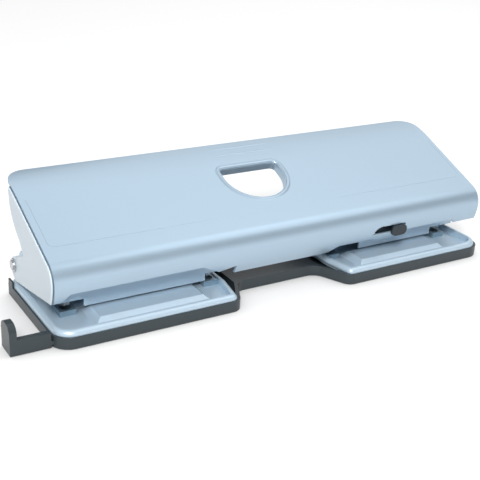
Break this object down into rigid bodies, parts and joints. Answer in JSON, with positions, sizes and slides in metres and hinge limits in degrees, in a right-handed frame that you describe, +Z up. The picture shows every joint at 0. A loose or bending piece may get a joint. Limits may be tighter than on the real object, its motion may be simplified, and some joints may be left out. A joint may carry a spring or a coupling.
{
  "type": "desk hole punch",
  "caption": "Desk punch whose long lever presses a row of pins through paper, with a slide-out paper guide and a chip tray.",
  "frame": {"origin": "on the bench, under the middle of the chip tray's rear rail", "axes": "+X along the punch to the right of the user, +Y to the back, away from the paper, +Z up"},
  "size_m": [0.2908, 0.0779, 0.0643],
  "materials": {
    "lever_paint": "powder-blue semi-gloss paint",
    "base_paint": "powder-blue semi-gloss paint",
    "frame_paint": "powder-blue semi-gloss paint",
    "cap_plastic": "pale blue-grey moulded plastic",
    "tray_plastic": "dark grey moulded plastic",
    "guide_plastic": "dark grey moulded plastic",
    "lock_plastic": "near-black moulded plastic",
    "bracket_steel": "plain steel strip",
    "rivet_steel": "zinc-plated",
    "rod_steel": "bright drawn steel",
    "pin_steel": "hardened ground steel",
    "spring_steel": "spring wire"
  },
  "bodies": {
    "base": {"chip_tray": "tray_plastic"},
    "chassis": {"left_base_plate": "base_paint", "right_base_plate": "base_paint", "left_punch_frame": "frame_paint", "right_punch_frame": "frame_paint", "die_1": "base_paint", "die_2": "base_paint", "die_3": "base_paint", "die_4": "base_paint", "frame_rivets": "rivet_steel", "pivot_rod": "rod_steel", "rod_clips": "rod_steel"},
    "lever": {"lever_shell": "lever_paint", "left_end_cap": "cap_plastic", "right_end_cap": "cap_plastic", "left_lever_bracket": "bracket_steel", "right_lever_bracket": "bracket_steel", "pressure_bar": "bracket_steel", "lock_strap": "bracket_steel"},
    "lock": {"lock_slider": "lock_plastic"},
    "guide": {"paper_guide": "guide_plastic"},
    "punch_1": {"pin_1": "pin_steel", "pin_clip_1": "rod_steel", "pin_spring_1": "spring_steel"},
    "punch_2": {"pin_2": "pin_steel", "pin_clip_2": "rod_steel", "pin_spring_2": "spring_steel"},
    "punch_3": {"pin_3": "pin_steel", "pin_clip_3": "rod_steel", "pin_spring_3": "spring_steel"},
    "punch_4": {"pin_4": "pin_steel", "pin_clip_4": "rod_steel", "pin_spring_4": "spring_steel"}
  },
  "joints": [
    {"name": "chassis_lift", "type": "slide", "parent": "base", "child": "chassis", "axis": [0, 0, 1], "range_m": [0, 0.012]},
    {"name": "lever_press", "type": "hinge", "parent": "chassis", "child": "lever", "pos_m": [0, 0.017, 0.02], "axis": [1, 0, 0], "range_deg": [0, 9.5], "stiffness_Nm_per_rad": 4.5, "springref_deg": -8.59},
    {"name": "lock_slide", "type": "slide", "parent": "lever", "child": "lock", "axis": [-1, 0, 0], "range_m": [0, 0.012]},
    {"name": "guide_slide", "type": "slide", "parent": "base", "child": "guide", "axis": [-1, 0, 0], "range_m": [0, 0.045]},
    {"name": "punch_1_stroke", "type": "slide", "parent": "chassis", "child": "punch_1", "axis": [0, 0, -1], "range_m": [0, 0.0056], "deforming": ["pin_spring_1"]},
    {"name": "punch_2_stroke", "type": "slide", "parent": "chassis", "child": "punch_2", "axis": [0, 0, -1], "range_m": [0, 0.0056], "deforming": ["pin_spring_2"]},
    {"name": "punch_3_stroke", "type": "slide", "parent": "chassis", "child": "punch_3", "axis": [0, 0, -1], "range_m": [0, 0.0056], "deforming": ["pin_spring_3"]},
    {"name": "punch_4_stroke", "type": "slide", "parent": "chassis", "child": "punch_4", "axis": [0, 0, -1], "range_m": [0, 0.0056], "deforming": ["pin_spring_4"]}
  ],
  "couplings": [
    {"joint": "punch_1_stroke", "follows": "lever_press", "m_per_rad": 0.0335},
    {"joint": "punch_2_stroke", "follows": "lever_press", "m_per_rad": 0.0335},
    {"joint": "punch_3_stroke", "follows": "lever_press", "m_per_rad": 0.0335},
    {"joint": "punch_4_stroke", "follows": "lever_press", "m_per_rad": 0.0335}
  ]
}
